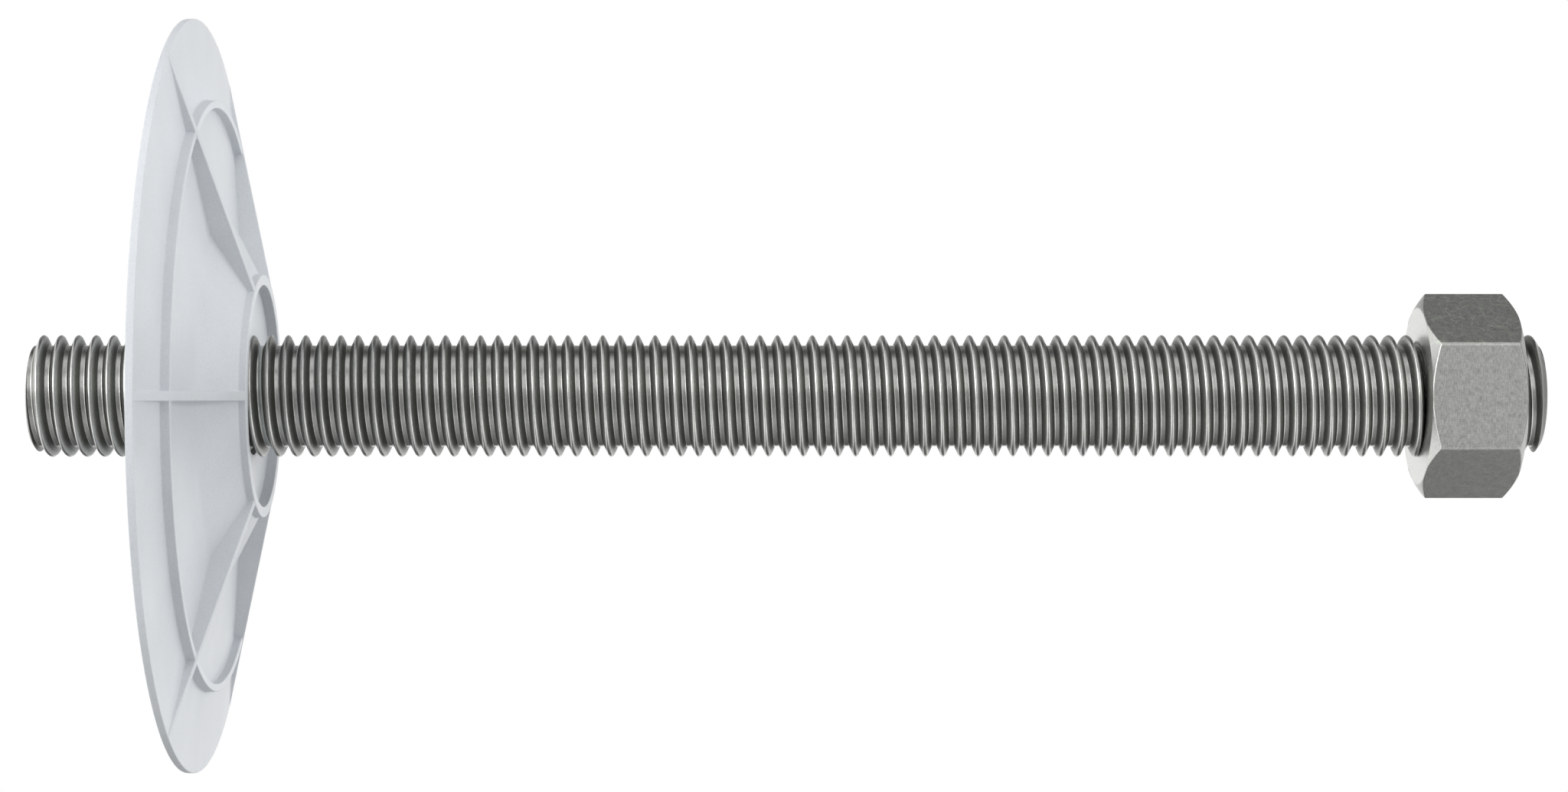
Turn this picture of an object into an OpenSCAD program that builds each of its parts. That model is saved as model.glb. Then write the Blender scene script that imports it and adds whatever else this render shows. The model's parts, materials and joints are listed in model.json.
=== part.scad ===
// Bridge cap anchor: a threaded rod with an end nut and a ribbed plastic cap disc on the thread.
// The rod lies along X. The plane x = 0 is the back of the disc's rim, which lies on the bridge deck:
// the stub of the rod at x < 0 goes into the deck, and the rest is cast into the cap.

/* [Rod] */
// Diameter over the thread's crests
thread_d = 24; // [18:0.5:32]
// Depth of the thread from crest to root, which is also the depth of the end chamfers
thread_depth = 2.05; // [1:0.05:3]
// Length of the end chamfers along the rod
end_chamfer = 1.5; // [0.5:0.1:4]
// Length of the rod from end to end
rod_len = 295; // [200:1:450]
// Length of the stub behind the rim of the disc
stub_len = 31; // [20:0.5:45]

/* [Nut] */
// Width of the nut across its flats
nut_flats = 35; // [34:0.5:60]
// Height of the nut
nut_height = 18.4; // [10:0.2:32]
// Length of rod that stands out past the nut
rod_past_nut = 5.2; // [3:0.1:40]
// Angle of the chamfers that round off the nut's corners
nut_chamfer_angle = 30; // [15:1:35]
// Width of a chamfered end face, as a share of the width across flats
nut_face_share = 0.99; // [0.9:0.01:1]
// Depth of the countersink at each end of the nut's bore
nut_countersink = 0.4; // [0.2:0.1:1.8]
// Radial clearance of the nut over the thread's crests
nut_clearance = 0.08; // [0.02:0.01:0.1]

/* [Disc] */
// Outside diameter of the disc
disc_d = 147.4; // [124:0.2:220]
// Thickness of the disc's moulded wall
wall = 1.45; // [1:0.05:2.2]
// Width of the flat land at the back of the rim
rim_land = 1.5; // [0.8:0.1:3]
// Diameter at which the slope of the dish steepens
bend_d = 71.8; // [62:0.2:84]
// Rise of the dish from the rim to that bend
bend_rise = 4.7; // [3:0.1:7]
// Rise of the dish from the rim to the foot of the collar
foot_rise = 11; // [9:0.1:15]
// Radial clearance of the hub's hole over the thread's crests
hub_clearance = 0.1; // [0.02:0.01:0.1]

/* [Collar] */
// Outside diameter of the collar round the hub
collar_d = 47.8; // [42:0.2:58]
// Thickness of the collar
collar_wall = 2.2; // [1.2:0.1:3]
// Height of the collar above its foot
collar_height = 1.5; // [1:0.1:4]
// Depth of the recess inside the collar
recess_depth = 2.1; // [1.2:0.1:3]

/* [Ring] */
// Outside diameter of the stiffening ring
ring_d = 115.8; // [96:0.2:120]
// Thickness of the stiffening ring
ring_wall = 1.55; // [1:0.05:3]
// Height of the ring above the dish at its outside
ring_height = 1.9; // [1:0.1:2.5]

/* [Ribs] */
// Number of radial ribs
rib_count = 6; // [3:1:9]
// Thickness of a rib
rib_wall = 1.85; // [1.2:0.05:3]

/* [Edges] */
// Width of the small bevels on the moulded edges
edge_break = 0.15; // [0.05:0.05:0.4]
// Radius of the fillets where moulded walls meet the dish
foot_fillet = 0.2; // [0.1:0.1:0.6]

/* [Hidden] */

$fn = 128;
fillet_steps = 3;
cut_over = 1;

thread_r = thread_d / 2;
rod_start = -stub_len;
rod_end = rod_start + rod_len;

nut_end = rod_end - rod_past_nut;
nut_start = nut_end - nut_height;
nut_face_r = nut_flats / 2 * nut_face_share;
nut_corner_r = nut_flats / 2 / cos(30);
nut_chamfer = (nut_corner_r - nut_face_r) * tan(nut_chamfer_angle);
nut_bore_r = thread_r + nut_clearance;

disc_r = disc_d / 2;
bend_r = bend_d / 2;
collar_r = collar_d / 2;
recess_r = collar_r - collar_wall;
ring_r = ring_d / 2;
ring_inner_r = ring_r - ring_wall;
hole_r = thread_r + hub_clearance;

// Slopes of the dish's two cones and of the ribs' straight top edge, as rise per unit of radius
outer_slope = bend_rise / (disc_r - bend_r);
inner_slope = (foot_rise - bend_rise) / (bend_r - collar_r);
collar_top = wall + foot_rise + collar_height;
rib_top = collar_top - edge_break;
rib_slope = (rib_top - wall) / (disc_r - collar_r);
recess_floor = collar_top - recess_depth;
hub_back = recess_floor - wall;
ring_top = front(ring_r) + ring_height;

// The wall measured along the axis on each cone, where it is one wall thick square to its surface
outer_wall = wall / cos(atan(outer_slope));
inner_wall = wall / cos(atan(inner_slope));
// Radius of the bend on the back of the dish, and the height there
bend_back_r = bend_r - (inner_wall - outer_wall) / (inner_slope - outer_slope);
bend_back = wall + outer_slope * (disc_r - bend_back_r) - outer_wall;
// Radius at which the back of the inner cone comes down to the back of the hub
hub_back_r = bend_back_r - (hub_back - bend_back) / inner_slope;

// Height of the dish's front surface at radius r, above the back of the rim
function front(r) =
    r > bend_r ? wall + outer_slope * (disc_r - r) : wall + bend_rise + inner_slope * (bend_r - r);

// Points along an arc about c, from angle a0 to a1
function arc(c, r, a0, a1) =
    [for (i = [0:fillet_steps]) let (a = a0 + (a1 - a0) * i / fillet_steps) c + r * [cos(a), sin(a)]];

// The fillet in the corner between the dish and the outside of a wall at radius r,
// from the dish up to the wall, on a slope of the given rise
function outside_foot(r, slope) =
    let (lean = atan(slope))
    let (c = [r + foot_fillet, front(r) - slope * foot_fillet + foot_fillet / cos(lean)])
    arc(c, foot_fillet, 270 - lean, 180);

// The fillet in the corner between the inside of a wall at radius r and the dish
function inside_foot(r, slope) =
    let (lean = atan(slope))
    let (c = [r - foot_fillet, front(r) + slope * foot_fillet + foot_fillet / cos(lean)])
    arc(c, foot_fillet, 0, -90 - lean);

// Turns a shape built up along Z so that it stands along X
module along_x() {
    rotate([0, 90, 0]) children();
}

// Section of the dish from the rim to the hub: rim, ring, bend, collar, recess, hole and back
module dish_section() {
    polygon(concat(
        [
            [disc_r - rim_land, 0],
            [disc_r - edge_break, 0],
            [disc_r, edge_break],
            [disc_r, wall - edge_break],
            [disc_r - edge_break, front(disc_r - edge_break)]
        ],
        outside_foot(ring_r, outer_slope),
        [
            [ring_r, ring_top - edge_break],
            [ring_r - edge_break, ring_top],
            [ring_inner_r + edge_break, ring_top],
            [ring_inner_r, ring_top - edge_break]
        ],
        inside_foot(ring_inner_r, outer_slope),
        [[bend_r, front(bend_r)]],
        outside_foot(collar_r, inner_slope),
        [
            [collar_r, collar_top - edge_break],
            [collar_r - edge_break, collar_top],
            [recess_r + edge_break, collar_top],
            [recess_r, collar_top - edge_break],
            [recess_r, recess_floor],
            [hole_r, recess_floor],
            [hole_r, hub_back],
            [hub_back_r, hub_back],
            [bend_back_r, bend_back]
        ]
    ));
}

// Outline of one rib, seen from its side: its straight top runs from the rim to the collar's top,
// and its foot is sunk half a wall into the dish
module rib_outline() {
    rib_end_r = disc_r - 2 * edge_break;
    rib_root_r = collar_r - collar_wall / 2;
    polygon([
        [rib_root_r, rib_top],
        [collar_r, rib_top],
        [rib_end_r, wall + rib_slope * (disc_r - rib_end_r)],
        [rib_end_r, front(rib_end_r) - wall / 2],
        [bend_r, front(bend_r) - wall / 2],
        [collar_r, front(collar_r) - wall / 2],
        [rib_root_r, hub_back + wall / 2]
    ]);
}

// One rib that stands out from the Z axis along +X
module rib() {
    rotate([90, 0, 0])
        linear_extrude(height = rib_wall, center = true)
            rib_outline();
}

// Round stock with a chamfer at each end, of the given depth and length along the stock
module chamfered_bar(r, length, depth, chamfer) {
    rotate_extrude()
        polygon([
            [0, 0],
            [r - depth, 0],
            [r, chamfer],
            [r, length - chamfer],
            [r - depth, length],
            [0, length]
        ]);
}

// Envelope that turns the corners of the nut down to a round face at both ends
module nut_turning() {
    rotate_extrude()
        polygon([
            [0, 0],
            [nut_face_r, 0],
            [nut_corner_r, nut_chamfer],
            [nut_corner_r + cut_over, nut_chamfer],
            [nut_corner_r + cut_over, nut_height - nut_chamfer],
            [nut_corner_r, nut_height - nut_chamfer],
            [nut_face_r, nut_height],
            [0, nut_height]
        ]);
}

// Bore of the nut with a 90 degree countersink at each end
module nut_bore() {
    rotate_extrude()
        polygon([
            [0, -cut_over],
            [nut_bore_r + nut_countersink + cut_over, -cut_over],
            [nut_bore_r, nut_countersink],
            [nut_bore_r, nut_height - nut_countersink],
            [nut_bore_r + nut_countersink + cut_over, nut_height + cut_over],
            [0, nut_height + cut_over]
        ]);
}

// The rod at the size of its thread's crests, chamfered to the thread's root at both ends
module threaded_rod() {
    color([0.55, 0.56, 0.54])
        translate([rod_start, 0, 0])
            along_x()
                chamfered_bar(thread_r, rod_len, thread_depth, end_chamfer);
}

// Hexagon nut with corners up and down
module hex_nut() {
    color([0.62, 0.63, 0.61])
        translate([nut_start, 0, 0])
            along_x()
                difference() {
                    intersection() {
                        cylinder(r = nut_corner_r, h = nut_height, $fn = 6);
                        nut_turning();
                    }
                    nut_bore();
                }
}

// Moulded cap disc: a thin dish with a rim, a ring, radial ribs and a collar round the hole
module cap_disc() {
    color([0.82, 0.84, 0.87])
        along_x() {
            rotate_extrude($fn = 192)
                dish_section();
            for (i = [0:rib_count - 1])
                rotate([0, 0, 90 + i * 360 / rib_count])
                    rib();
        }
}

threaded_rod();
hex_nut();
cap_disc();
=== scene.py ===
# %% [markdown]
# # A bridge cap anchor
#
# The object ties the concrete edge cap of a bridge to its deck. It has three pieces: a stainless rod
# with a coarse thread, a hexagon nut near its head, and a moulded plastic disc near its foot, which
# seals the deck round it. The CAD model gives each piece its place and size as a plain solid. In this
# lesson each of them is made again with the detail that the eye looks for: a true helical thread, a
# nut with turned chamfers and a threaded bore, and a disc with ribs, fillets and rounded edges.

# %% Load the frame
import json
import math

import bmesh
import bpy
from mathutils import Matrix, Vector

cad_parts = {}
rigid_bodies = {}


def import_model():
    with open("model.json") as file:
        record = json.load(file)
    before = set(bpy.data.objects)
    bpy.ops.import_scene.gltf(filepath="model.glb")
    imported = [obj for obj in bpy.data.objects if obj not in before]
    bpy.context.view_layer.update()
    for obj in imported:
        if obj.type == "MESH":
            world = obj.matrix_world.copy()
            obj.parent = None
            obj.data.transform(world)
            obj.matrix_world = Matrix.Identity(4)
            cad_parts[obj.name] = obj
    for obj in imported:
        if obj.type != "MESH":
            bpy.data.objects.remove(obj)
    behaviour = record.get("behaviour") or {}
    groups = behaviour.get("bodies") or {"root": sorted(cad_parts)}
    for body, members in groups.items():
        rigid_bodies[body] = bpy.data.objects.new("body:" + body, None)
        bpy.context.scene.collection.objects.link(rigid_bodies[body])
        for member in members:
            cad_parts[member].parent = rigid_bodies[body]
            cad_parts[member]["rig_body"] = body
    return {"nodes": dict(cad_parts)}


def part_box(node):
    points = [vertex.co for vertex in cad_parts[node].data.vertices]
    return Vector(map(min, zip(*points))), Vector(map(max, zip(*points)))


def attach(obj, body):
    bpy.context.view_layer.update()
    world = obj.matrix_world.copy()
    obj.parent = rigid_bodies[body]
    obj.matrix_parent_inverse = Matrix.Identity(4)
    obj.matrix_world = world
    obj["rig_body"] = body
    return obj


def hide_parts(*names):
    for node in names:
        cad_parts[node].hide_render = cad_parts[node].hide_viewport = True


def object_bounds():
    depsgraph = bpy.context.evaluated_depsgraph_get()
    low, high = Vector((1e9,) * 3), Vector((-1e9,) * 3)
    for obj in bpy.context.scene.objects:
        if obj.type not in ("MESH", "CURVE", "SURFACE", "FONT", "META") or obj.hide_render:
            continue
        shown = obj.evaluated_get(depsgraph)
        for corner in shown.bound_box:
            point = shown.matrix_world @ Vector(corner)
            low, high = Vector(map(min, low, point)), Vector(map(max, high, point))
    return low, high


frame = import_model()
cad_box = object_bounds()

MM = 0.001
print("CAD box in metres:", [list(corner) for corner in cad_box])

# %% [markdown]
# ## The camera first
#
# The photo was taken square to the rod, from about 0.7 m, so the picture plane is parallel to the
# rod and the disc shows the perspective: its near rib is larger than its far one. The camera could be
# turned and zoomed by eye, but then a small error would hide in every size. Its lens follows from how
# many pixels wide the picture is and how many of them a ray of slope 1 covers, and its place from the
# outlines of the disc, the nut and the rod's ends. With the camera in place, everything that follows
# can be compared with the photo.

# %% Camera
QUARTER_TURN = math.radians(90)
PHOTO_WIDTH = 2048
FOCAL_PIXELS = 4650
# In millimetres, as Blender counts both sensors and lenses
SENSOR_WIDTH = 36
CAMERA_PLACE = Vector((116.04, -699.8, 0)) * MM
NEAREST_SEEN = 10 * MM


def make_camera():
    """The photo's camera: square to the rod, level with it."""
    data = bpy.data.cameras.new("photo_camera")
    data.sensor_width = SENSOR_WIDTH
    data.lens = FOCAL_PIXELS / PHOTO_WIDTH * SENSOR_WIDTH
    data.clip_start = NEAREST_SEEN
    camera = bpy.data.objects.new("photo_camera", data)
    camera.location = CAMERA_PLACE
    camera.rotation_euler = (QUARTER_TURN, 0, 0)
    bpy.context.scene.collection.objects.link(camera)
    bpy.context.scene.camera = camera
    return camera


camera = make_camera()
print(f"lens {camera.data.lens:.2f} mm at {list(camera.location)}")

# %% [markdown]
# ## Helpers for shapes
#
# Each piece starts as a bmesh, Blender's mesh in the making, and ends as an object at the origin
# whose place is in its mesh. Much of a machined part is round about one axis. A cylinder could be
# scaled and joined with cones for that, but a line that is spun about the axis gives the whole turned
# shape at once, as a lathe does. Both ends of the rod and of the nut are alike, so a line is drawn for
# one end and mirrored for the other.

# %% Shape helpers
AXIS = Vector((1, 0, 0))
ORIGIN = Vector((0, 0, 0))
# Points of a turned shape that are nearer to each other than this become one
MERGE = 0.002 * MM
TURNED_STEPS = 128


def everything(mesh):
    """All vertices, edges and faces of a bmesh, as the operators want them."""
    return mesh.verts[:] + mesh.edges[:] + mesh.faces[:]


def draw_line(mesh, outline):
    """A chain of edges above the axis, from points of (place along it, radius)."""
    points = [mesh.verts.new((x, 0, radius)) for x, radius in outline]
    for first, second in zip(points, points[1:]):
        mesh.edges.new((first, second))
    return points


def to_object(mesh, name):
    """Turns a bmesh into an object at the origin, with its faces pointing outwards."""
    bmesh.ops.recalc_face_normals(mesh, faces=mesh.faces)
    data = bpy.data.meshes.new(name)
    mesh.to_mesh(data)
    mesh.free()
    piece = bpy.data.objects.new(name, data)
    bpy.context.scene.collection.objects.link(piece)
    return piece


def both_ends(outline, start, end):
    """The outline of the end at start, followed by its mirror image for the other end."""
    return outline + [(start + end - x, radius) for x, radius in reversed(outline)]


def turned(outline, name):
    """A solid of revolution about the rod's axis."""
    mesh = bmesh.new()
    draw_line(mesh, outline)
    bmesh.ops.spin(
        mesh, geom=everything(mesh), cent=ORIGIN, axis=AXIS, angle=math.tau, steps=TURNED_STEPS,
        use_merge=True
    )
    bmesh.ops.remove_doubles(mesh, verts=mesh.verts, dist=MERGE)
    return to_object(mesh, name)


print(f"turned shapes get {TURNED_STEPS} sides")

# %% [markdown]
# ## Helpers for cutting and shading
#
# A machinist cuts a part from stock, and so does this script. The cuts could be worked out point by
# point, but a Boolean modifier finds where two closed solids meet by itself. It leaves some edges of
# almost no length, which are dissolved after each cut, so that the piece stays closed. Smooth shading
# hides the facets of a round surface, and edges that turn by more than a given angle stay crisp.
# Beside a fine bevel it would also bend the look of the large face, so there large faces count more.

# %% Cutting and shading helpers
SLIVER = 0.0001 * MM


def carve(piece, tool, how):
    """Cuts piece with tool, or keeps what they share, and then removes the tool."""
    step = piece.modifiers.new("carve", "BOOLEAN")
    step.object = tool
    step.operation = how
    step.solver = "MANIFOLD"
    depsgraph = bpy.context.evaluated_depsgraph_get()
    carved = bpy.data.meshes.new_from_object(piece.evaluated_get(depsgraph))
    mesh = bmesh.new()
    mesh.from_mesh(carved)
    bmesh.ops.dissolve_degenerate(mesh, dist=SLIVER, edges=mesh.edges)
    mesh.to_mesh(carved)
    mesh.free()
    piece.modifiers.clear()
    piece.data = carved
    bpy.data.objects.remove(tool)


def shade(piece, sharp_degrees, by_area=True):
    """Smooth shading, apart from edges that turn by more than the angle. By area, flats stay flat."""
    piece.data.polygons.foreach_set("use_smooth", [True] * len(piece.data.polygons))
    piece.data.set_sharp_from_angle(angle=math.radians(sharp_degrees))
    if by_area:
        weigh = piece.modifiers.new("even shading", "WEIGHTED_NORMAL")
        weigh.keep_sharp = True


print(f"edges shorter than {SLIVER / MM:.4f} mm are dissolved")

# %% [markdown]
# ## The profile of the thread
#
# The rod's thread is rolled: its crests are rounded, and its roots have small fillets. Rings set side
# by side would look much the same from afar, but their edges don't lean and never meet the next turn.
# So this is a real thread, and it starts as the profile of one turn, from the middle of a root over a
# crest to the next root. Only its left half is drawn, and its right half mirrors it. A vertex bevel
# rounds the four corners. Extra points beside them keep the shading of the rounding from running along
# the whole flank. The pitch is wider than on a standard thread of this diameter: it and the place of
# the crests are measured in the photo.

# %% Thread profile
rod_low, rod_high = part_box("threaded_rod")
CREST_R = rod_high.z
THREAD_DEPTH = 2.05 * MM
ROOT_R = CREST_R - THREAD_DEPTH
PITCH = 3.43 * MM
CREST_FLAT = 0.56 * MM
FLANK_ANGLE = math.radians(25.5)
ROOT_EASE = 0.3 * MM
CREST_EASE = 0.85 * MM
# For each pair of corners: their places in the profile's row of points, the rounding and its facets
ROOT_CORNERS = ((2, 9), 0.07 * MM, 1)
CREST_CORNERS = ((5, 6), 0.27 * MM, 2)


def thread_profile(mesh, crest_x, grow):
    """One turn's profile above the axis, with its crest at crest_x and its radii larger by grow."""
    flank = Vector((math.sin(FLANK_ANGLE), math.cos(FLANK_ANGLE)))
    top = Vector((-CREST_FLAT / 2, CREST_R + grow))
    foot = Vector((-CREST_FLAT / 2 - THREAD_DEPTH * math.tan(FLANK_ANGLE), ROOT_R + grow))
    half = [Vector((-PITCH / 2, ROOT_R + grow)), foot - Vector((ROOT_EASE, 0)), foot]
    half += [foot + flank * ROOT_EASE, top - flank * CREST_EASE, top]
    points = draw_line(mesh, [(crest_x + x, radius) for x, radius in both_ends(half, 0, 0)])
    for corners, rounding, facets in (ROOT_CORNERS, CREST_CORNERS):
        bmesh.ops.bevel(
            mesh, geom=[points[number] for number in corners], offset=rounding, offset_type="OFFSET",
            affect="VERTICES", segments=facets, profile=0.5, material=-1
        )


print(f"crests at a radius of {CREST_R / MM:.2f} mm, roots at {ROOT_R / MM:.2f} mm")

# %% [markdown]
# ## Threaded bar
#
# The spin operator carries the profile round the axis and moves it a little along at each step, so
# that after one turn its end meets its own start. A Screw modifier would do the same, but the operator
# leaves a mesh that can be copied, welded and cut straight away. One turn is made, its copies are set
# one pitch apart, and all of them are welded into one surface. It is then cut square at both ends and
# closed there. The tap that later threads the nut is the same bar, a little larger.

# %% Threaded bar
# Wider than MERGE, because the places of the copies are rounded
WELD = 0.01 * MM
TURN_STEPS = 60
# Where a crest passes the top of the rod, right above the axis
TOP_CREST_X = 1.53 * MM


def vertices_among(parts):
    """The vertices among the mixed parts that an operator returns."""
    return [part for part in parts if isinstance(part, bmesh.types.BMVert)]


def cut_square(mesh, plane_x, outwards):
    """Cuts a mesh off at a plane across the axis, and closes the cut."""
    bmesh.ops.bisect_plane(
        mesh, geom=everything(mesh), plane_co=AXIS * plane_x, plane_no=outwards, clear_outer=True
    )
    rim = [edge for edge in mesh.edges if edge.is_boundary]
    rim = [edge for edge in rim if abs(edge.verts[0].co.x - plane_x) < MERGE]
    bmesh.ops.holes_fill(mesh, edges=rim)


def threaded_bar(start_x, end_x, grow, name):
    """A threaded bar between two planes, closed at both ends."""
    first_turn = math.floor((start_x - TOP_CREST_X) / PITCH) - 1
    crest_x = TOP_CREST_X + first_turn * PITCH
    turns = math.ceil((end_x - crest_x) / PITCH) + 1
    mesh = bmesh.new()
    thread_profile(mesh, crest_x, grow)
    bmesh.ops.spin(
        mesh, geom=everything(mesh), cent=ORIGIN, axis=AXIS, dvec=AXIS * PITCH / TURN_STEPS,
        angle=math.tau, steps=TURN_STEPS
    )
    one_turn = everything(mesh)
    for turn in range(1, turns):
        copy = bmesh.ops.duplicate(mesh, geom=one_turn)["geom"]
        bmesh.ops.translate(mesh, vec=AXIS * PITCH * turn, verts=vertices_among(copy))
    bmesh.ops.remove_doubles(mesh, verts=mesh.verts, dist=WELD)
    cut_square(mesh, start_x, -AXIS)
    cut_square(mesh, end_x, AXIS)
    print(f"{name}: {turns} turns, {len(mesh.faces)} faces")
    return to_object(mesh, name)


print(f"{TURN_STEPS} steps a turn, and {PITCH / MM:.2f} mm from turn to turn")

# %% [markdown]
# ## The rod
#
# The rod is cut to length from threaded bar, and both ends are chamfered down to the thread's root,
# so that a nut starts easily. The chamfer cuts across the running thread and leaves a crest that fades
# out. A bevel on the end's edge would follow the winding outline there, so the finished thread is
# instead intersected with a turned bar that has the chamfers, as a lathe would cut them.

# %% Rod
END_CHAMFER = 1.5 * MM
# How far a cutting tool stands out past the piece
CLEAR = 1 * MM


def make_rod():
    """The rod with its thread and its chamfered ends."""
    start, end = rod_low.x, rod_high.x
    rod = threaded_bar(start, end, 0, "rod_thread")
    outer_x = start + END_CHAMFER * (THREAD_DEPTH + CLEAR) / THREAD_DEPTH
    outline = [(start, 0), (start, ROOT_R), (outer_x, CREST_R + CLEAR)]
    carve(rod, turned(both_ends(outline, start, end), "chamfer_tool"), "INTERSECT")
    shade(rod, sharp_degrees=45, by_area=False)
    return rod


rod = make_rod()
print(f"rod {(rod_high.x - rod_low.x) / MM:.0f} mm long")

# %% [markdown]
# ## Stock for the nut
#
# A hexagon nut starts as a length of hexagon bar, with a corner up and a corner down in the photo. A
# six-sided circle, laid across the axis and extruded, is that bar. Real edges are never quite sharp.
# The fine bevels along them are small, but they draw the bright lines round the flats in the photo. A
# Bevel modifier could add them all at the end, but it would also round the edges of the thread inside,
# so the long edges are broken here, where they are easy to pick out: their two ends differ in x.

# %% Hexagon bar
nut_low, nut_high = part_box("hex_nut")
NUT_CORNER_R = nut_high.z
NUT_SIDES = 6
LONG_EDGE_BREAK = 0.44 * MM
BREAK_FACETS = 2


def break_edges(mesh, edges, width):
    """A fine bevel on the given edges."""
    bmesh.ops.bevel(
        mesh, geom=edges, offset=width, offset_type="OFFSET", affect="EDGES", segments=BREAK_FACETS,
        profile=0.5, material=-1
    )
    print(f"{len(edges)} edges broken")


def hexagon_bar():
    """Hexagon bar along the rod, with corners above and below and its long edges broken."""
    mesh = bmesh.new()
    bmesh.ops.create_circle(mesh, cap_ends=True, segments=NUT_SIDES, radius=NUT_CORNER_R)
    stand = Matrix.Rotation(QUARTER_TURN, 4, "Y") @ Matrix.Rotation(QUARTER_TURN, 4, "Z")
    bmesh.ops.transform(mesh, matrix=stand, verts=mesh.verts)
    bmesh.ops.translate(mesh, vec=AXIS * nut_low.x, verts=mesh.verts)
    made = bmesh.ops.extrude_face_region(mesh, geom=mesh.faces[:])["geom"]
    bmesh.ops.translate(mesh, vec=AXIS * (nut_high.x - nut_low.x), verts=vertices_among(made))
    bmesh.ops.recalc_face_normals(mesh, faces=mesh.faces)
    long_edges = [edge for edge in mesh.edges if edge.verts[0].co.x != edge.verts[1].co.x]
    break_edges(mesh, long_edges, LONG_EDGE_BREAK)
    return to_object(mesh, "nut_body")


print(f"hexagon bar {2 * NUT_CORNER_R / MM:.2f} mm across its corners")

# %% [markdown]
# ## The nut
#
# From here the nut is made in the order of the machine shop. Both faces are turned with a 30 degree
# chamfer, which leaves an arc on each flat. Such an arc is hard to draw but comes by itself when the
# bar is intersected with a turned shape. The arcs are broken by a fine bevel too. Then come the bore,
# with a very small countersink at each end, and the thread, which a slightly larger threaded bar cuts
# out, as a tap does.

# %% Nut
NUT_FACE_R = 17.33 * MM
CHAMFER_ANGLE = math.radians(30)
NUT_CHAMFER = (NUT_CORNER_R - NUT_FACE_R) * math.tan(CHAMFER_ANGLE)
ARC_BREAK = 0.2 * MM
# Edges that turn by more than this are the arcs and the rims of the faces, not the turned facets
ARC_TURN = math.radians(24)
NUT_BORE_R = 10.45 * MM
COUNTERSINK_R = 10.9 * MM
NUT_CLEARANCE = 0.08 * MM


def break_arcs(piece):
    """A fine bevel where the turned chamfers meet the flats and the faces."""
    mesh = bmesh.new()
    mesh.from_mesh(piece.data)
    bmesh.ops.remove_doubles(mesh, verts=mesh.verts, dist=WELD)
    arcs = [edge for edge in mesh.edges if edge.calc_face_angle(0) > ARC_TURN]
    break_edges(mesh, arcs, ARC_BREAK)
    mesh.to_mesh(piece.data)
    mesh.free()


def make_nut():
    """Bar, chamfers, broken edges, then the bore with its countersinks and the thread."""
    start, end = nut_low.x, nut_high.x
    nut = hexagon_bar()
    outline = [(start, 0), (start, NUT_FACE_R), (start + NUT_CHAMFER, NUT_CORNER_R)]
    outline.append((start + NUT_CHAMFER, NUT_CORNER_R + CLEAR))
    carve(nut, turned(both_ends(outline, start, end), "chamfer_tool"), "INTERSECT")
    break_arcs(nut)
    outline = [(start - CLEAR, 0), (start - CLEAR, COUNTERSINK_R + CLEAR)]
    outline.append((start + COUNTERSINK_R - NUT_BORE_R, NUT_BORE_R))
    carve(nut, turned(both_ends(outline, start, end), "bore_tool"), "DIFFERENCE")
    carve(nut, threaded_bar(start - CLEAR, end + CLEAR, NUT_CLEARANCE, "tap"), "DIFFERENCE")
    shade(nut, sharp_degrees=40)
    return nut


nut = make_nut()

# %% [markdown]
# ## The sizes of the disc
#
# The disc is one moulding with one wall thickness: a dish in two slopes, with a collar round the hub
# and a ring farther out. Its front could be traced point by point in the photo, but then a change of
# one size would bend it out of shape. So only its sizes are read, and a short function tells how high
# the front of the dish stands at any radius.

# %% Sizes of the disc
disc_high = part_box("cap_disc")[1]
RIM_R = disc_high.z
COLLAR_TOP = disc_high.x
WALL = 1.45 * MM
BEND_R = 35.9 * MM
BEND_RISE = 4.7 * MM
FOOT_RISE = 11 * MM
COLLAR_R = 23.9 * MM
RECESS_R = 21.7 * MM
RECESS_FLOOR = COLLAR_TOP - 2.1 * MM
HUB_BACK = RECESS_FLOOR - WALL
HOLE_R = 11.5 * MM
RING_R = 57.9 * MM
RING_INNER_R = RING_R - 1.55 * MM
RING_HEIGHT = 1.9 * MM
RIM_LAND = 1.5 * MM

# Rise of the dish for each unit of radius, on its two slopes
outer_slope = BEND_RISE / (RIM_R - BEND_R)
inner_slope = (FOOT_RISE - BEND_RISE) / (BEND_R - COLLAR_R)


def front(radius):
    """Height of the dish's front surface above the back of the rim."""
    if radius > BEND_R:
        return WALL + outer_slope * (RIM_R - radius)
    return WALL + BEND_RISE + inner_slope * (BEND_R - radius)


print(f"the collar stands {COLLAR_TOP / MM:.2f} mm above the back of the rim")

# %% [markdown]
# ## The section of the disc
#
# The section runs once round, from the hole over the front to the rim and back along the side that the
# photo hides. A Solidify modifier could give the dish its back, but it would give one to the collar
# and the ring as well. Here the back is worked out: one wall thickness behind both slopes. The walls of
# the collar and the ring lean a little, so that the disc comes out of its mould. Each corner names its
# own rounding, and the widest one is where the two slopes meet.

# %% Corners of the section
DRAFT = 0.03 * MM
HOLE_ROUNDING = 0.15 * MM
EDGE_ROUNDING = 0.2 * MM
COLLAR_ROUNDING = 0.25 * MM
HUB_BACK_ROUNDING = 1 * MM
BACK_BEND_ROUNDING = 2 * MM
BEND_ROUNDING = 5 * MM

RING_TOP = front(RING_R) + RING_HEIGHT
outer_wall = WALL * math.hypot(1, outer_slope)
inner_wall = WALL * math.hypot(1, inner_slope)
bend_back_r = BEND_R - (inner_wall - outer_wall) / (inner_slope - outer_slope)
bend_back = front(BEND_R) + outer_slope * (BEND_R - bend_back_r) - outer_wall
hub_back_r = bend_back_r - (HUB_BACK - bend_back) / inner_slope

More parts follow.
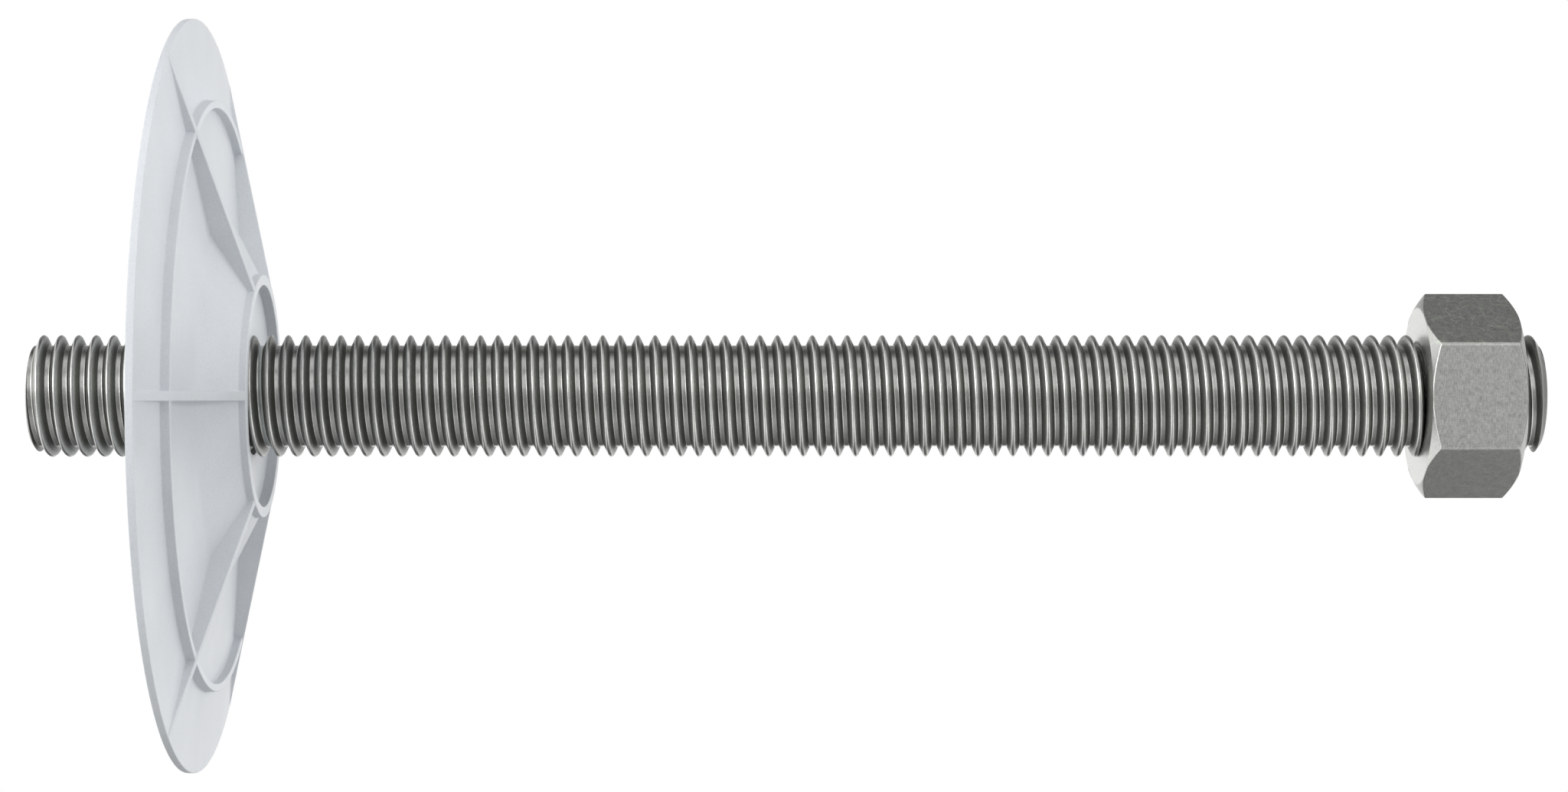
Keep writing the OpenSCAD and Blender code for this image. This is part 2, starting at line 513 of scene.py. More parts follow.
# Each corner is (radius, height, rounding)
SECTION_CORNERS = [
    (HOLE_R, HUB_BACK, HOLE_ROUNDING), (HOLE_R, RECESS_FLOOR, HOLE_ROUNDING),
    (RECESS_R, RECESS_FLOOR, EDGE_ROUNDING), (RECESS_R + DRAFT, COLLAR_TOP, EDGE_ROUNDING),
    (COLLAR_R - DRAFT, COLLAR_TOP, COLLAR_ROUNDING), (COLLAR_R, front(COLLAR_R), EDGE_ROUNDING),
    (BEND_R, front(BEND_R), BEND_ROUNDING), (RING_INNER_R, front(RING_INNER_R), EDGE_ROUNDING),
    (RING_INNER_R + DRAFT, RING_TOP, EDGE_ROUNDING), (RING_R - DRAFT, RING_TOP, EDGE_ROUNDING),
    (RING_R, front(RING_R), EDGE_ROUNDING), (RIM_R, WALL, EDGE_ROUNDING), (RIM_R, 0, EDGE_ROUNDING),
    (RIM_R - RIM_LAND, 0, EDGE_ROUNDING), (bend_back_r, bend_back, BACK_BEND_ROUNDING),
    (hub_back_r, HUB_BACK, HUB_BACK_ROUNDING),
]
print(f"the section has {len(SECTION_CORNERS)} corners")

# %% [markdown]
# ## Rounding the section
#
# A mould is cut with round tools, so no corner of a moulding is sharp, and the fillets at the feet of
# its walls catch a thin line of light. A bevel on the finished disc would have to pick its edges one
# by one. It is easier on the flat outline: a short function turns each corner into an arc that touches
# both of its sides. Long straight stretches get extra points, so that the ribs can rise from them.

# %% Rounded section
ARC_STEPS = 3
LONGEST_STEP = 4 * MM


def rounded(corners):
    """A closed outline through the corners, with an arc at each."""
    points = []
    for number, (radius, height, rounding) in enumerate(corners):
        here = Vector((radius, height))
        back = (Vector(corners[number - 1][:2]) - here).normalized()
        ahead = (Vector(corners[(number + 1) % len(corners)][:2]) - here).normalized()
        half = back.angle(ahead) / 2
        middle = here + (back + ahead).normalized() * rounding / math.sin(half)
        tangent = rounding / math.tan(half)
        first = (here + back * tangent - middle).normalized()
        last = (here + ahead * tangent - middle).normalized()
        shares = [step / ARC_STEPS for step in range(ARC_STEPS + 1)]
        points += [middle + rounding * first.slerp(last, share) for share in shares]
    return points


def with_short_steps(points):
    """Adds points along the long straight stretches of a closed outline."""
    split = []
    for first, second in zip(points, points[1:] + points[:1]):
        parts = math.ceil((second - first).length / LONGEST_STEP)
        split += [first.lerp(second, part / parts) for part in range(parts)]
    return split


section = with_short_steps(rounded(SECTION_CORNERS))
print(f"the rounded section has {len(section)} points")

# %% [markdown]
# ## The shape of a rib
#
# Six ribs stiffen the dish. Each has a straight top from the collar down to the rim, rounded edges
# along it and a fillet at each foot. A rib could be a block that is joined to the dish by a Boolean,
# but then the fillets along its feet would be missing. So the disc is laid out as a grid instead, and
# wherever a rib stands higher than the dish, the grid is lifted to it. Its columns run beside the rib,
# close together at the rounded top edge and at the fillet, and evenly across the field beyond.

# %% Columns beside a rib
RIB_COUNT = 6
RIB_HALF = 0.925 * MM
RIB_TOP_ROUNDING = 0.2 * MM
RIB_FILLET = 0.2 * MM
RIB_TOP = COLLAR_TOP - 0.15 * MM
FIELD_COLUMNS = 14
FIELD_HALF = math.pi / RIB_COUNT
rib_slope = (RIB_TOP - WALL) / (RIM_R - COLLAR_R)
quarter = [math.radians(angle) for angle in (0, 30, 60, 90)]

# Each column is (offset from the rib's middle, drop below its top, lift off the dish). A column of
# the top has no lift, and one of the foot has no drop.
rib_columns = [(0, 0, None)]
rib_columns += [
    (RIB_HALF - DRAFT - RIB_TOP_ROUNDING * (1 - math.sin(a)), RIB_TOP_ROUNDING * (1 - math.cos(a)), None)
    for a in quarter
]
rib_columns += [
    (RIB_HALF + RIB_FILLET * (1 - math.cos(a)), None, RIB_FILLET * (1 - math.sin(a))) for a in quarter
]
columns = len(rib_columns) - 1 + FIELD_COLUMNS


def rib_top(radius):
    """Height of the rib's straight top edge, from the collar down to the rim."""
    return RIB_TOP - rib_slope * (max(radius, COLLAR_R) - COLLAR_R)


def lifted(radius, height, drop, lift):
    """The height of a point beside the rib: the section's own, or the rib's where that is higher."""
    on_front = height > front(radius) - WALL / 2
    under_rib = (COLLAR_R + RECESS_R) / 2 < radius < RIM_R - EDGE_ROUNDING / 2
    if not (on_front and under_rib):
        return height
    if lift is None:
        return max(height, rib_top(radius) - drop)
    return max(height, min(height + lift, rib_top(radius) - RIB_TOP_ROUNDING))


print(f"{columns} columns from the middle of a rib to the middle of the next field")

# %% [markdown]
# ## The disc
#
# The grid covers half of one rib and half of the field beside it, once round the section. Its rows
# follow the section, and its edge at the last row meets the one at the first. It is mirrored about the
# rib, and copies of it are set round the axis until they close into one smooth moulding. The whole
# disc could be one grid, but repeating a twelfth of it keeps all the ribs alike.

# %% Disc with ribs
GRID_HALF = 0.5


def disc_point(column, row):
    """Where a vertex of the grid goes: its column beside the rib, its row along the section."""
    radius, height = section[row % len(section)]
    if column < len(rib_columns):
        offset, drop, lift = rib_columns[column]
        height = lifted(radius, height, drop, lift)
        angle = math.asin(offset / radius)
    else:
        start = math.asin(rib_columns[-1][0] / radius)
        share = (column - len(rib_columns) + 1) / FIELD_COLUMNS
        angle = start + (FIELD_HALF - start) * share
    return Vector((height, -radius * math.cos(angle), radius * math.sin(angle)))


def make_disc():
    """The whole moulding from one grid, mirrored about the rib and turned round the axis."""
    mesh = bmesh.new()
    bmesh.ops.create_grid(mesh, x_segments=columns, y_segments=len(section), size=GRID_HALF)
    for vertex in mesh.verts:
        column = round((vertex.co.x + GRID_HALF) * columns)
        row = round((vertex.co.y + GRID_HALF) * len(section))
        vertex.co = disc_point(column, row)
    bmesh.ops.mirror(mesh, geom=everything(mesh), axis="Z", merge_dist=MERGE)
    bmesh.ops.spin(
        mesh, geom=everything(mesh), cent=ORIGIN, axis=AXIS, use_duplicate=True,
        angle=math.tau * (RIB_COUNT - 1) / RIB_COUNT, steps=RIB_COUNT - 1
    )
    bmesh.ops.remove_doubles(mesh, verts=mesh.verts, dist=WELD)
    open_edges = [edge for edge in mesh.edges if not edge.is_manifold]
    print(f"the disc has {len(mesh.faces)} faces and {len(open_edges)} open edges")
    return to_object(mesh, "disc_moulding")


disc = make_disc()
shade(disc, sharp_degrees=50)

# %% [markdown]
# ## Helpers for nodes
#
# All the finishes are procedural: they are worked out from the place on the piece, so they need no
# picture and no unwrapping, and they hold at any distance. In a script each node, setting and link
# takes a line of its own, and a pattern soon fills a page. So a few short calls add a node and wire
# it at once. The room that lights the object is made of nodes too, and uses the same calls.

# %% Node helpers


class Nodes:
    """A node tree, with short calls that add nodes to it."""

    def __init__(self, tree):
        self.tree = tree

    def feed(self, socket, value):
        """Wires another node's output to a socket, or sets the socket's own value."""
        if isinstance(value, bpy.types.NodeSocket):
            self.tree.links.new(value, socket)
        else:
            socket.default_value = value

    def node(self, kind, inputs=None, **settings):
        """Adds a node, sets it up, and wires or fills its inputs."""
        made = self.tree.nodes.new(kind)
        for name, value in settings.items():
            setattr(made, name, value)
        for socket, value in (inputs or {}).items():
            self.feed(made.inputs[socket], value)
        return made

    def maths(self, operation, *values):
        """A sum on up to three numbers."""
        return self.node("ShaderNodeMath", dict(enumerate(values)), operation=operation).outputs[0]

    def vector(self, operation, *values, output="Vector"):
        """A sum on places or directions."""
        made = self.node("ShaderNodeVectorMath", dict(enumerate(values)), operation=operation)
        return made.outputs[output]

    def between(self, value, start, end, low=0.0, high=1.0, curve="LINEAR"):
        """Maps a value that goes from start to end onto low to high, and holds it there beyond."""
        made = self.node(
            "ShaderNodeMapRange",
            {"Value": value, "From Min": start, "From Max": end, "To Min": low, "To Max": high},
            interpolation_type=curve
        )
        return made.outputs["Result"]

    def mix(self, share, first, second):
        """A number between two. Sockets 2 and 3 of the node are the ones for numbers."""
        return self.node("ShaderNodeMix", {0: share, 2: first, 3: second}).outputs[0]

    def blend(self, share, first, second):
        """A colour between two."""
        made = self.node("ShaderNodeMix", {0: share}, data_type="RGBA")
        ends = [socket for socket in made.inputs if socket.type == "RGBA"]
        for end, colour in zip(ends, (first, second)):
            wired = isinstance(colour, bpy.types.NodeSocket)
            self.feed(end, colour if wired else (*colour, 1))
        return next(socket for socket in made.outputs if socket.type == "RGBA")


print("calls:", ", ".join(name for name in vars(Nodes) if not name.startswith("_")))

# %% [markdown]
# ## Helpers for finishes
#
# Every finish here is built up in the same way. Noises give patterns from 0 to 1, which blend two
# colours, vary the roughness a little, and tilt the surface by a bump. Most values of a noise lie in
# its middle, so that part is spread out to the full range. A plain colour would be simpler, but real
# steel and plastic are never the same all over, and it is the small changes that make them look real.

# %% Finish helpers
NOISE_LOW, NOISE_HIGH = 0.3, 0.7


class Finish(Nodes):
    """A new material, with its shader, the place on the piece, and calls for patterns."""

    def __init__(self, name, **shader_values):
        self.material = bpy.data.materials.new(name)
        self.material.use_nodes = True
        super().__init__(self.material.node_tree)
        self.shader = self.tree.nodes["Principled BSDF"]
        self.place = self.node("ShaderNodeTexCoord").outputs["Object"]
        self.wire(**shader_values)

    def wire(self, **sockets):
        """Connects values to the shader's sockets, or sets them there."""
        for socket, value in sockets.items():
            self.feed(self.shader.inputs[socket.replace("_", " ")], value)

    def stretch(self, place, scale):
        """The same place, scaled along each axis."""
        return self.vector("MULTIPLY", place, scale)

    def noise(self, place, scale, detail, roughness=0.5):
        """Cloudy noise from 0 to 1."""
        inputs = {"Vector": place, "Scale": scale, "Detail": detail, "Roughness": roughness}
        return self.node("ShaderNodeTexNoise", inputs).outputs["Fac"]

    def spread(self, noise, low, high):
        """Maps the middle of a noise onto the range from low to high."""
        return self.between(noise, NOISE_LOW, NOISE_HIGH, low, high)

    def bump(self, pattern, depth, strength, under=None):
        """Tilts the surface by a pattern, on top of an earlier bump if one is given."""
        inputs = {"Height": pattern, "Distance": depth, "Strength": strength}
        if under is not None:
            inputs["Normal"] = under
        return self.node("ShaderNodeBump", inputs).outputs["Normal"]


print(f"noise is spread from {NOISE_LOW} to {NOISE_HIGH}")

# %% [markdown]
# ## Handing a piece over
#
# A finished piece stands for a plain solid of the CAD model, which is hidden. It moves with that
# solid's body, and it takes its finish. Each of these could be set by hand, but one short function
# does it for all three pieces alike, so that none of it is forgotten.

# %% Handing over


def hand_over(piece, node, material):
    """The piece stands for a CAD node: it rides on the node's body and takes its finish."""
    piece.data.materials.clear()
    piece.data.materials.append(material)
    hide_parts(node)
    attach(piece, frame["nodes"][node]["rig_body"])
    triangles = sum(len(face.vertices) - 2 for face in piece.data.polygons)
    print(f"{piece.name}: {triangles} triangles")


print("nodes to stand for:", sorted(frame["nodes"]))

# %% [markdown]
# ## Where a point is on the thread
#
# Two things about a rolled thread depend on where a point is. The dies leave fine lines along the
# helix, long round the rod and short along it. An unwrapped map could carry them, but it would have a
# seam. The direction from the axis to the surface, made one unit long, changes slowly round the rod
# and has no seam, so it is joined with the place along the rod, scaled up a lot, and noise draws out
# into lines by itself. The dies also burnish the crests and the roots and only slide along the
# flanks, which stay rougher. The flanks are also darkened by painted shade, which stands for the
# shade deep in the grooves between the turns. The distance from the axis tells which of them a
# point is on.

# %% Places on the thread
# Leaves out the place along the rod and keeps what lies across it
ACROSS = (0, 1, 1)
# Heights above the root between which the flank's roughness and painted shade set in
FLANK_FOOT = (0.03 * MM, 0.2 * MM)


def around_the_rod(finish, along, around):
    """A place that changes fast along the rod and slowly round it."""
    unit = finish.vector("NORMALIZE", finish.stretch(finish.place, ACROSS))
    drawn = finish.stretch(unit, (around, around, around))
    lengthwise = finish.stretch(finish.place, (along, 0, 0))
    return finish.vector("ADD", drawn, lengthwise)


def on_the_flanks(finish, top):
    """1 on the flanks, 0 on the roots, and fading out between two depths below the crests."""
    radius = finish.vector("LENGTH", finish.stretch(finish.place, ACROSS), output="Value")
    above_root = finish.between(radius, ROOT_R + FLANK_FOOT[0], ROOT_R + FLANK_FOOT[1])
    below_crest = finish.between(radius, CREST_R - top[1], CREST_R - top[0])
    return finish.maths("MULTIPLY", above_root, below_crest)


print(f"flanks start {FLANK_FOOT[0] / MM:.2f} mm above the roots")

# %% [markdown]
# ## Rolled stainless steel
#
# The rod is bright where the dies burnished it and rougher on its flanks, which are also darker by
# painted shade that stands for the shade in the grooves. In the photo its crests carry a crisp
# streak of light, mottled by tiny dents. Metal takes its look from reflections, so the roughness and
# the bump matter more than the colour: the lines make the streak ragged, and the mottle and the grain
# break it up. A mirror-smooth steel in the same colours would look like chrome.

# %% Rod steel
# How fast each pattern changes along the rod and around it
LINES = {"along": 9000, "around": 5}
MOTTLE = {"along": 2500, "around": 9}
MOTTLE_SHARE = 0.45
ROD_GRAIN = 4200
# Dark and light tone of each part of the thread; the flanks' darker tones are painted shade for the
# shade deep in the grooves
BURNISHED = ((0.34, 0.345, 0.33), (0.53, 0.535, 0.515))
FLANK_PAINTED_SHADE = ((0.19, 0.195, 0.185), (0.25, 0.255, 0.24))
# Depths below the crests: from the first on down a flank is fully dark with painted shade, or fully
# rough, and from the second on up not at all
PAINTED_SHADE_TOP = (1.1 * MM, 0.5 * MM)
ROUGH_TOP = (0.4 * MM, 0.15 * MM)
LINES_ROUGHNESS = (0.12, 0.17)
MOTTLE_ROUGHNESS = (-0.02, 0.05)
FLANK_ROUGHNESS = 0.25


def rod_steel():
    """Bright rolled steel with fine lines round the rod, and rougher flanks darkened by painted shade.
    """
    finish = Finish("rod_steel", Metallic=1.0)
    lines = finish.noise(around_the_rod(finish, **LINES), scale=1, detail=3)
    mottle = finish.noise(around_the_rod(finish, **MOTTLE), scale=1, detail=4, roughness=0.6)
    grain = finish.noise(finish.place, ROD_GRAIN, detail=3, roughness=0.6)
    mottle_part = finish.spread(mottle, 0, MOTTLE_SHARE)
    share = finish.maths("ADD", mottle_part, finish.spread(grain, 0, 1 - MOTTLE_SHARE))
    burnished = finish.blend(share, *BURNISHED)
    # The flanks take the darker tones: painted shade for the shade deep in the grooves
    colour = finish.blend(on_the_flanks(finish, PAINTED_SHADE_TOP), burnished, finish.blend(share, *FLANK_PAINTED_SHADE))
    lines_part = finish.spread(lines, *LINES_ROUGHNESS)
    smooth = finish.maths("ADD", lines_part, finish.spread(mottle, *MOTTLE_ROUGHNESS))
    rougher = finish.maths("MULTIPLY", on_the_flanks(finish, ROUGH_TOP), FLANK_ROUGHNESS)
    fine = finish.bump(grain, depth=0.01 * MM, strength=0.5)
    fine = finish.bump(mottle, depth=0.016 * MM, strength=0.5, under=fine)
    ridged = finish.bump(lines, depth=0.003 * MM, strength=0.4, under=fine)
    finish.wire(Base_Color=colour, Roughness=finish.maths("ADD", smooth, rougher), Normal=ridged)
    return finish.material


hand_over(rod, "threaded_rod", rod_steel())

# %% [markdown]
# ## Scratches
#
# The nut has been handled: thin pale scratches cross its upper flats at odd angles. Each could be a
# groove in the mesh, but they are far finer than a sensible facet, so they are a pattern too. A
# Voronoi texture divides space into cells and knows how far the nearest edge between two cells is.
# With its cells drawn out fifty times as long as they are wide, those edges are long thin lines. Three
# such patterns, each turned about the line of sight, cross each other. They fade in above the front
# flat and a little way in from the nut's inner face, because the photo shows none before that.

# %% Scratches
SCRATCH_CELLS = 260
SCRATCH_CELL_SHAPE = (0.02, 1, 1)
# Each set of scratches is (direction in degrees, width as a share of a cell)
SCRATCHES = ((25, 0.03), (-62, 0.03), (80, 0.02))
FAINTEST, STRONGEST = 0.1, 1.0
SCRATCHED_ABOVE = (9.6 * MM, 10.4 * MM)
SCRATCHED_BEYOND = (nut_low.x + 0.6 * MM, nut_low.x + 1.4 * MM)


def scratch(finish, turn, width):
    """Thin long lines, 1 in their middle and 0 beside them, turned about the line of sight."""
    laid = finish.node(
        "ShaderNodeVectorRotate", {"Vector": finish.place, "Angle": math.radians(turn)},
        rotation_type="Y_AXIS"
    ).outputs[0]
    inputs = {"Vector": finish.stretch(laid, SCRATCH_CELL_SHAPE), "Scale": SCRATCH_CELLS}
    cells = finish.node("ShaderNodeTexVoronoi", inputs, feature="DISTANCE_TO_EDGE")
    return finish.between(cells.outputs["Distance"], width, 0.0)


def scratches(finish, patches):
    """All sets of scratches on the upper flats, stronger in some patches than in others."""
    lines = finish.spread(patches, FAINTEST, STRONGEST)
    place = finish.node("ShaderNodeSeparateXYZ", {0: finish.place}).outputs
    for axis, reach in (("Z", SCRATCHED_ABOVE), ("X", SCRATCHED_BEYOND)):
        lines = finish.maths("MULTIPLY", lines, finish.between(place[axis], *reach))
    crossed = 0.0
    for turn, width in SCRATCHES:
        crossed = finish.maths("MAXIMUM", crossed, scratch(finish, turn, width))
    return finish.maths("MULTIPLY", lines, crossed)


print(f"{len(SCRATCHES)} sets of scratches")

# %% [markdown]
# ## Brushed steel for the nut
#
# The nut's flats are ground and brushed: short fine strokes lie along the axis and across it and look
# like a weave. An image of brushed metal would stretch over the corners. Two noises, one drawn out
# upright and one level, give both kinds of stroke on every side, and a coarse noise makes soft patches
# where the brush pressed harder.

# %% Nut steel
STROKES = 4800
UPRIGHT_SHAPE = (1.0, 1.0, 0.2)
LEVEL_SHAPE = (0.25, 1.0, 1.0)
PATCHES = 900
UPRIGHT_SHARE, LEVEL_SHARE, PATCHES_SHARE = 0.45, 0.35, 0.2
BRUSHED = ((0.35, 0.355, 0.335), (0.64, 0.64, 0.625))
SCRATCHED = (0.68, 0.75, 0.62)
UPRIGHT_ROUGHNESS = (0.3, 0.4)
PATCHES_ROUGHNESS = (-0.03, 0.04)


def nut_steel():
    """Satin steel with woven fine strokes and a few scratches."""
    finish = Finish("nut_steel", Metallic=1.0)
    upright = finish.noise(finish.stretch(finish.place, UPRIGHT_SHAPE), STROKES, detail=2)
    level = finish.noise(finish.stretch(finish.place, LEVEL_SHAPE), STROKES, detail=2)
    patches = finish.noise(finish.place, PATCHES, detail=4, roughness=0.6)
    share = 0.0
    for pattern, part in ((upright, UPRIGHT_SHARE), (level, LEVEL_SHARE), (patches, PATCHES_SHARE)):
        share = finish.maths("ADD", share, finish.spread(pattern, 0, part))
    colour = finish.blend(scratches(finish, patches), finish.blend(share, *BRUSHED), SCRATCHED)
    upright_part = finish.spread(upright, *UPRIGHT_ROUGHNESS)
    roughness = finish.maths("ADD", upright_part, finish.spread(patches, *PATCHES_ROUGHNESS))
    brushed = finish.bump(level, depth=0.006 * MM, strength=0.5)
    brushed = finish.bump(upright, depth=0.008 * MM, strength=0.6, under=brushed)
    finish.wire(Base_Color=colour, Roughness=roughness, Normal=brushed)
    return finish.material


hand_over(nut, "hex_nut", nut_steel())

# %% [markdown]
# ## Moulded plastic
#
# The disc is a pale, cool grey moulding with a matt, very fine eroded grain. Spark erosion leaves that
# grain in the steel of the mould, and the plastic takes it over. Modelling it would take millions of
# faces, so a fine noise is used as a bump. A slow drift in colour keeps the large faces from looking
# painted, and the grain breaks up the soft highlight.

# %% Disc plastic
DRIFT = 60
DRIFT_SHARE = 0.45
ERODED_GRAIN = 2400
PALE_GREY = ((0.615, 0.64, 0.67), (0.725, 0.75, 0.78))
GRAIN_ROUGHNESS = (0.38, 0.48)


def disc_plastic():
    """Matt moulded plastic with a fine grain."""
    finish = Finish("disc_plastic", Specular_IOR_Level=0.6)
    drift = finish.noise(finish.place, DRIFT, detail=3)
    grain = finish.noise(finish.place, ERODED_GRAIN, detail=3, roughness=0.6)
    drift_part = finish.spread(drift, 0, DRIFT_SHARE)
    share = finish.maths("ADD", drift_part, finish.spread(grain, 0, 1 - DRIFT_SHARE))
    eroded = finish.bump(grain, depth=0.03 * MM, strength=0.7)
    roughness = finish.spread(grain, *GRAIN_ROUGHNESS)
    finish.wire(Base_Color=finish.blend(share, *PALE_GREY), Roughness=roughness, Normal=eroded)
    return finish.material


hand_over(disc, "cap_disc", disc_plastic())

# %% [markdown]
# ## The floor
#
# The photo was taken on white, and the object stands clear of whatever is below it. Here a pale floor
# lies a little below the disc and keeps the object's soft shadow for the other views. A floor that is
# simply large would show a horizon, so farther out it turns plain white for the camera. For bounced
# light it is greyer than for the camera, because a white floor so near would light the underside of
# the disc more than in the photo. It isn't part of the object.

# %% Floor
FLOOR_DROP = 60 * MM
FLOOR_HALF = 8
FLOOR_ROUGHNESS = 0.9
FLOOR_SEEN = (0.93, 0.93, 0.93)
FLOOR_BOUNCE = (0.5, 0.5, 0.5)
# The shadow's oval is twice as long along the rod as across, about the middle of the object, and
# the floor fades to white between these two distances
SHADOW_SHAPE = (0.5, 1, 0)
SHADOW_MIDDLE = (0.058, 0, 0)
SHADOW_REACH = (0.16, 0.26)


def floor_white():
    """Pale and matt near the object, plain white to the camera farther out."""
    finish = Finish("floor_white", Roughness=FLOOR_ROUGHNESS)
    off_middle = finish.vector("SUBTRACT", finish.stretch(finish.place, SHADOW_SHAPE), SHADOW_MIDDLE)
    distance = finish.vector("LENGTH", off_middle, output="Value")
    fade = finish.between(distance, *SHADOW_REACH, curve="SMOOTHSTEP")
    seen = finish.node("ShaderNodeLightPath").outputs["Is Camera Ray"]
    finish.wire(Base_Color=finish.blend(seen, FLOOR_BOUNCE, FLOOR_SEEN))
    white = finish.node("ShaderNodeEmission", {"Strength": 1.0}).outputs[0]
    share = finish.maths("MULTIPLY", fade, seen)
    both = finish.node("ShaderNodeMixShader", {0: share, 1: finish.shader.outputs[0], 2: white})
    finish.feed(finish.tree.nodes["Material Output"].inputs["Surface"], both.outputs[0])
    return finish.material


def make_floor():
    """A plain pale floor below the object."""
    mesh = bmesh.new()
    bmesh.ops.create_grid(mesh, x_segments=1, y_segments=1, size=FLOOR_HALF)
    bmesh.ops.translate(mesh, vec=(0, 0, cad_box[0].z - FLOOR_DROP), verts=mesh.verts)
    floor = to_object(mesh, "floor")
    floor.data.materials.append(floor_white())
    floor.visible_glossy = False
    return floor


floor = make_floor()
print(f"floor at z = {floor.data.vertices[0].co.z:.4f} m")

# %% [markdown]
# ## The room
#
# Steel has no colour of its own to speak of: it shows the room. In an all white room the rod would
# come out nearly white. The crests and roots of the thread are narrow mirrors that bend round the rod,
# so the photo tells, from top to bottom, how bright the room is at each height: white behind the
# object, dark overhead and low behind, lighter above the camera, and grey in front. The flanks look
# along the rod and tell of the walls left and right, which are brighter, apart from their ends. These
# readings were chosen by comparing renders with the photo, part by part. Matt surfaces gather light
# from everywhere, so for them a few soft steps will do.

# %% Readings of the room
# Each reading is (angle round the rod from the camera's side, up positive, in degrees; brightness)
ROOM_MIDDLE = [
    (-180, 1.5), (-165, 1.0), (-150, 0.15), (-120, 0.26), (-100, 0.38), (-75, 0.52), (-60, 0.62),
    (-45, 0.55), (-25, 0.35), (-5, 0.42), (14, 0.6), (22, 1.05), (44, 1.05), (58, 0.6), (75, 1.0),
    (92, 0.85), (105, 0.34), (120, 0.12), (145, 0.35), (164, 0.3), (180, 1.5),
]
ROOM_RIGHT = [
    (-180, 1.2), (-158, 1.1), (-140, 0.6), (-115, 1.0), (-60, 1.8), (-20, 1.2), (5, 1.0), (25, 1.6),
    (70, 1.1), (92, 0.9), (112, 0.27), (135, 0.15), (158, 0.5), (180, 1.2),
]
ROOM_LEFT = [
    (-180, 1.7), (-115, 1.3), (-75, 2.0), (-50, 1.8), (-12, 1.8), (3, 2.5), (16, 4.6), (44, 4.6),
    (60, 2.4), (80, 2.0), (110, 1.2), (180, 1.7),
]
ROOM_FOR_MATT = [
    (-180, 1.6), (-150, 1.3), (-110, 0.7), (-60, 0.4), (0, 0.38), (50, 0.6), (92, 0.9), (106, 0.4),
    (135, 0.3), (160, 1.1), (180, 1.6),
]
# What full white in a ramp stands for, and the brightness straight along the rod to either side
BRIGHTEST = 6.0
RIGHT_END, LEFT_END = 0.35, 0.5
# How far along the rod a direction points where each wall and each end of the room fades in
ROOM_RIGHT_FROM = (0.22, 0.45)
RIGHT_END_FROM = (0.72, 0.93)
ROOM_LEFT_FROM = (-0.42, -0.57)
LEFT_END_FROM = (-0.88, -0.96)
print(f"{len(ROOM_MIDDLE)} readings in the middle, {len(ROOM_FOR_MATT)} for matt surfaces")

# %% [markdown]
# ## Wiring the room
#
# A photographed room could light the object, but a few ramps need no picture and can be changed
# reading by reading. A world has a direction for each ray. Its angle round the rod picks a brightness
# from each ramp, and how far it points along the rod picks the ramp: middle, right, left or one of the
# ends. Light Path then tells what kind of ray it is: a mirrored one sees the room of the steel, others
# that come off a surface see the soft one, and the camera itself sees plain white.

# %% World
FULL_TURN = 360
# Level with the camera is the middle of each ramp
RAMP_MIDDLE = 0.5


def brightness_round(nodes, place, readings):
    """The brightness at a place round the rod, from a ramp with a stop for each reading."""
    ramp = nodes.node("ShaderNodeValToRGB", {0: place})
    stops = ramp.color_ramp.elements
    while len(stops) < len(readings):
        stops.new(RAMP_MIDDLE)
    for stop, (degrees, brightness) in zip(stops, readings):
        stop.position = degrees / FULL_TURN + RAMP_MIDDLE
        stop.color = (*[brightness / BRIGHTEST] * 3, 1)
    return nodes.maths("MULTIPLY", ramp.outputs["Color"], BRIGHTEST)


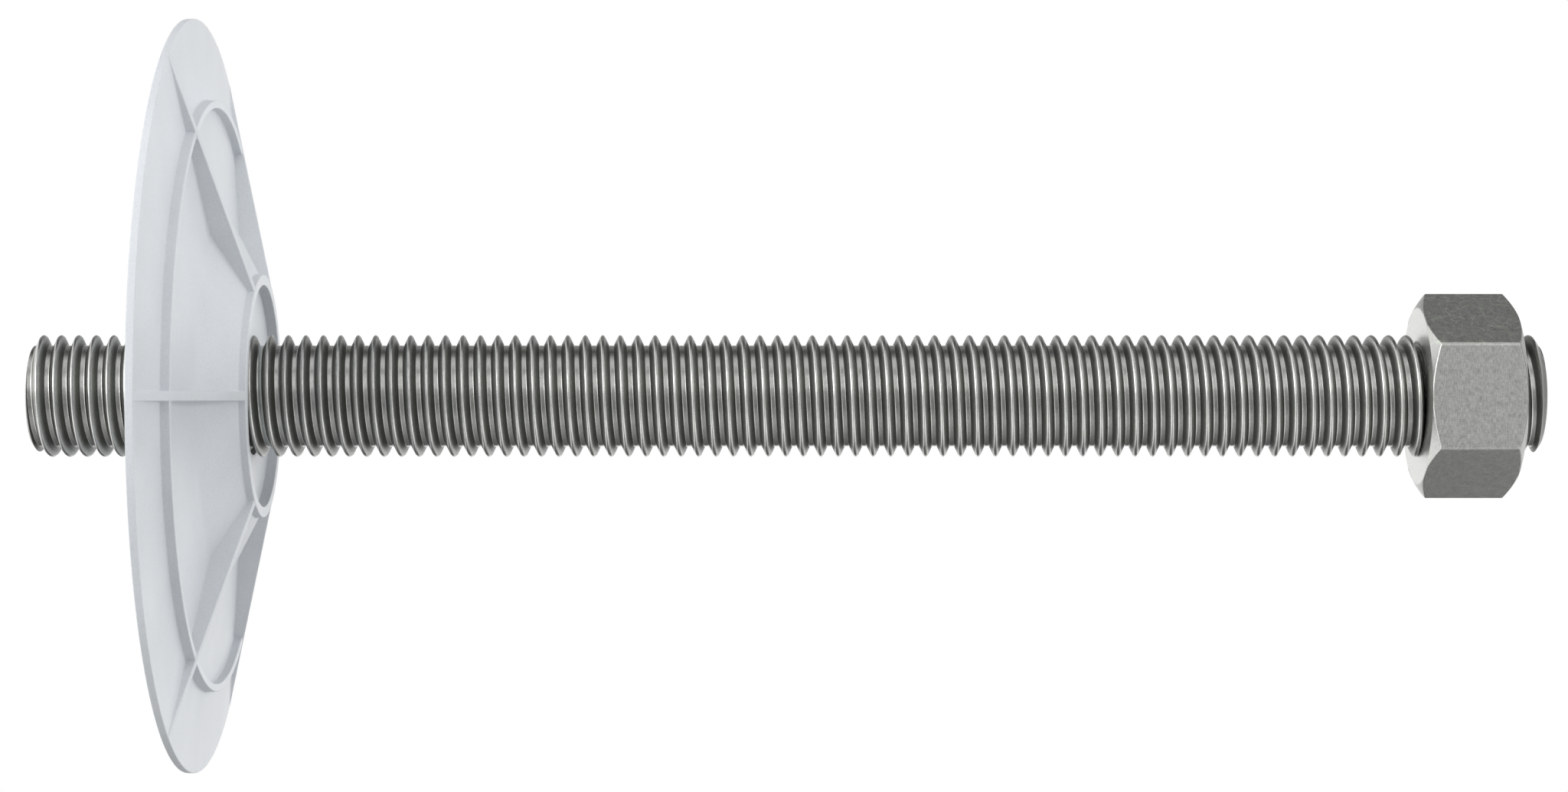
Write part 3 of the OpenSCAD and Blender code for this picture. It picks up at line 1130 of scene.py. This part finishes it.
def make_world():
    """The room as the steel sees it, a softer one for matt surfaces, and white for the camera."""
    world = bpy.data.worlds.new("studio")
    bpy.context.scene.world = world
    world.use_nodes = True
    nodes = Nodes(world.node_tree)
    direction = nodes.node("ShaderNodeTexCoord").outputs["Generated"]
    toward = nodes.node("ShaderNodeSeparateXYZ", {0: direction}).outputs
    angle = nodes.maths("ARCTAN2", toward["Z"], nodes.maths("MULTIPLY", toward["Y"], -1.0))
    place = nodes.maths("MULTIPLY_ADD", angle, 1 / math.tau, RAMP_MIDDLE)
    shiny = brightness_round(nodes, place, ROOM_MIDDLE)
    for reach, wall in (
        (ROOM_RIGHT_FROM, brightness_round(nodes, place, ROOM_RIGHT)), (RIGHT_END_FROM, RIGHT_END),
        (ROOM_LEFT_FROM, brightness_round(nodes, place, ROOM_LEFT)), (LEFT_END_FROM, LEFT_END),
    ):
        share = nodes.between(toward["X"], *reach, curve="SMOOTHSTEP")
        shiny = nodes.mix(share, shiny, wall)
    path = nodes.node("ShaderNodeLightPath").outputs
    soft = brightness_round(nodes, place, ROOM_FOR_MATT)
    shown = nodes.mix(path["Is Glossy Ray"], soft, shiny)
    background = world.node_tree.nodes["Background"].inputs
    nodes.feed(background["Strength"], nodes.mix(path["Is Camera Ray"], shown, 1.0))
    nodes.feed(background["Color"], (1, 1, 1, 1))
    return world


world = make_world()
print(f"the room has {len(world.node_tree.nodes)} nodes")

# %% [markdown]
# ## The lamps
#
# Soft boxes are the lamps of a product studio: large and even, so that shadows have soft edges. Three
# of them give the plastic its form. The key stands in front and to the left and lights the rim's edge
# more than the walls inside the dish, which the dish itself hides from it. The high one in front
# leaves the soft shadow below the near rib, and the one at the far right brightens the front of the
# dish. They could also light the steel, but it already shows the room, so it doesn't mirror them.

# %% Lamps
BOX_DISTANCE = 1.2


def soft_box(name, towards, width, height, brightness):
    """A rectangular soft light with sides in metres, which the object sees in a given direction."""
    data = bpy.data.lights.new(name, "AREA")
    data.shape = "RECTANGLE"
    data.size = width
    data.size_y = height
    # Each square metre of a matt surface gives off pi times its brightness
    data.energy = brightness * math.pi * width * height
    lamp = bpy.data.objects.new(name, data)
    lamp.location = Vector(towards).normalized() * BOX_DISTANCE
    lamp.rotation_euler = (-lamp.location).to_track_quat("-Z", "Y").to_euler()
    lamp.visible_glossy = False
    bpy.context.scene.collection.objects.link(lamp)
    print(f"{name}: {data.energy:.1f} W")


soft_box("key", towards=(-0.6, -0.78, 0.2), width=1.1, height=1.1, brightness=2.3)
soft_box("high", towards=(0.1, -0.5, 0.87), width=1.4, height=1.1, brightness=0.8)
soft_box("side", towards=(1, -0.05, 0.08), width=1.3, height=0.55, brightness=3.0)
bpy.context.scene.view_settings.view_transform = "Standard"

# %% [markdown]
# ## The size of the detail
#
# The detail must not outgrow the CAD model, because others rely on its sizes.
